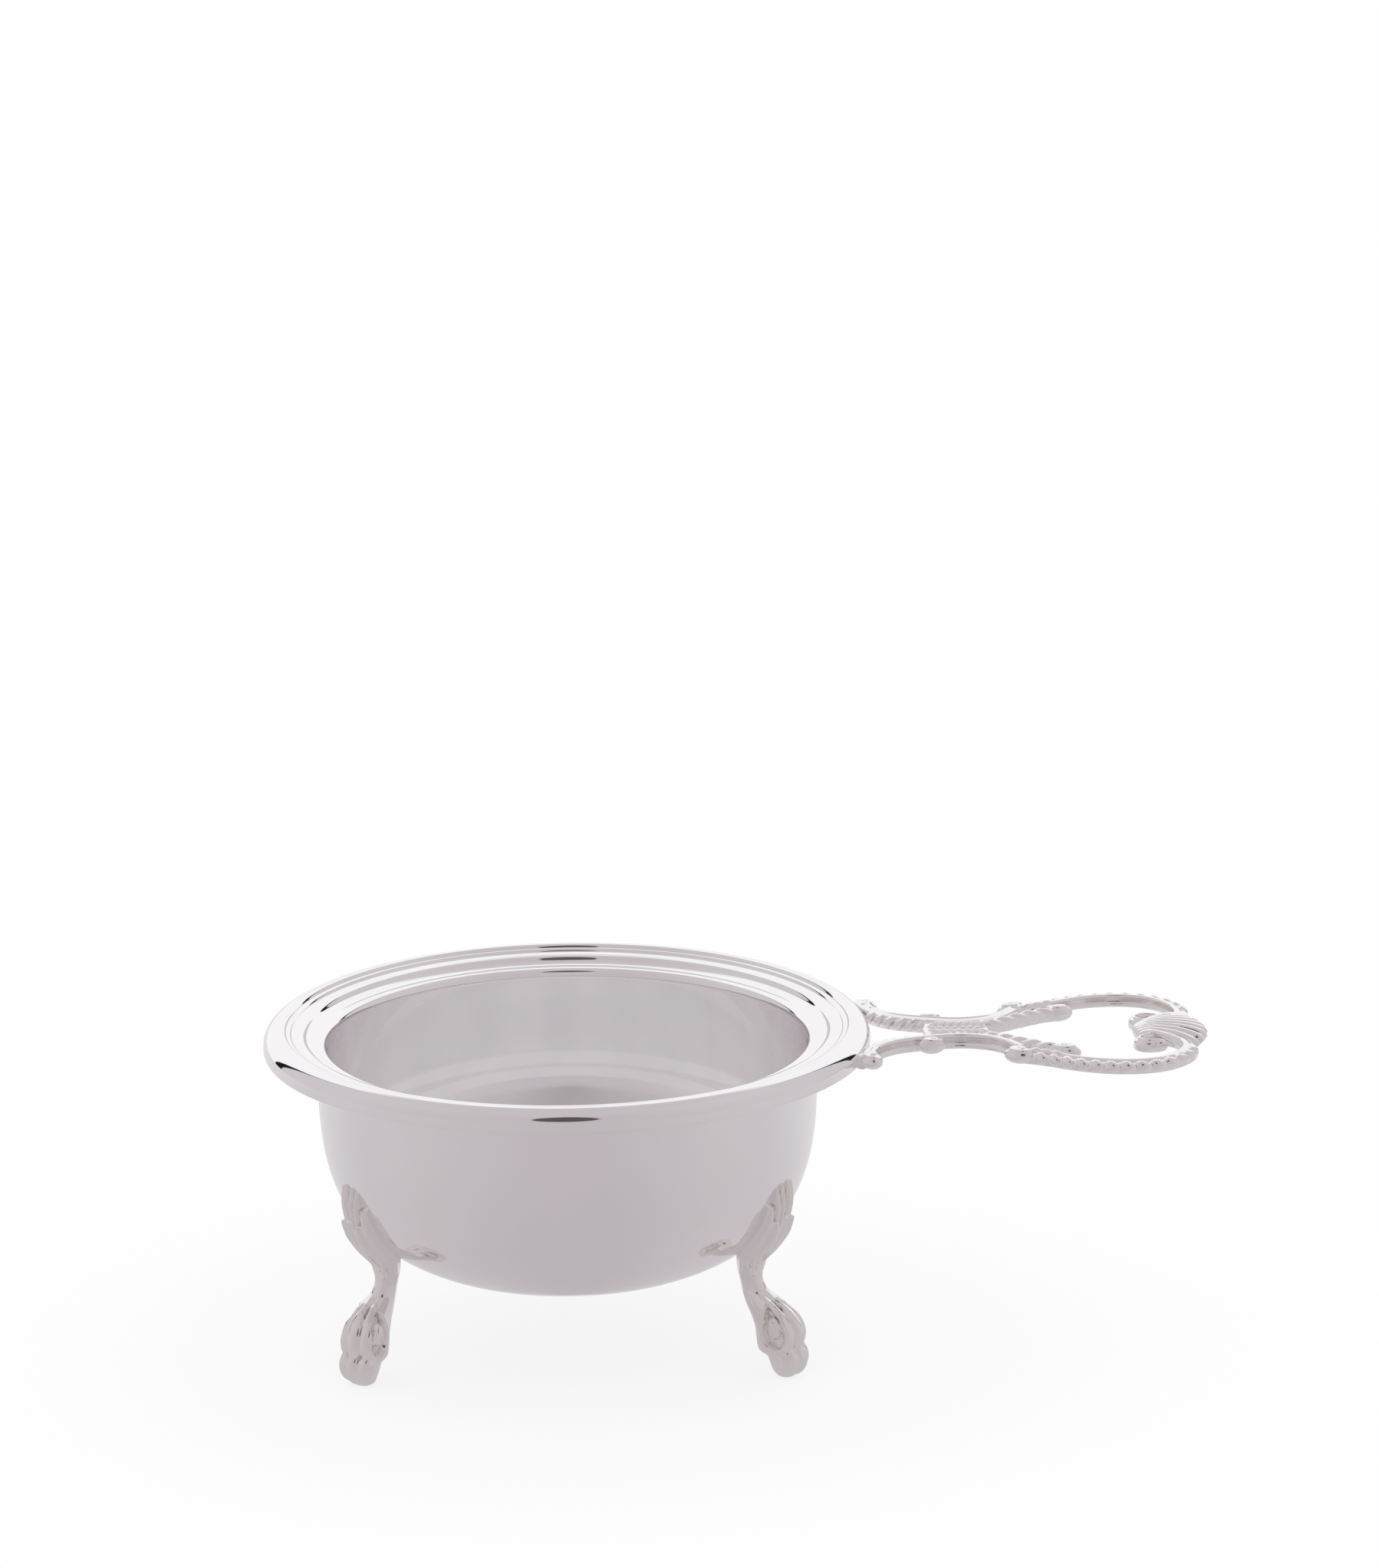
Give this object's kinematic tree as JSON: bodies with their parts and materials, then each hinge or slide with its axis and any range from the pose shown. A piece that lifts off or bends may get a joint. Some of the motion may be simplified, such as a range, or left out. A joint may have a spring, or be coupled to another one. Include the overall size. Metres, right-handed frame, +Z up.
{
  "type": "tea strainer",
  "caption": "Round pierced tea strainer with a moulded flange and openwork handle, nested in a drip bowl on cast paw feet.",
  "frame": {"origin": "on the table, at the centre of the bounding box's underside; the axis of the round bowls is 22.25 mm from it on the -X side", "axes": "+Z up, parallel to the bowls' axis; +X along the handle, away from the bowl"},
  "size_m": [0.1244, 0.08, 0.0444],
  "materials": {
    "bowl_silver": "mirror-polished silver plate",
    "strainer_silver": "mirror-polished silver plate",
    "handle_silver": "polished cast silver plate",
    "foot_silver": "polished cast silver plate with a warm patina in the hollows"
  },
  "bodies": {
    "stand": {"drip_bowl": "bowl_silver", "foot_front_left": "foot_silver", "foot_front_right": "foot_silver", "foot_back": "foot_silver"},
    "strainer": {"strainer_bowl": "strainer_silver", "handle": "handle_silver"}
  },
  "joints": [
    {"name": "strainer_lift", "type": "slide", "parent": "stand", "child": "strainer", "axis": [0, 0, 1], "range_m": [0, 0.05]}
  ]
}
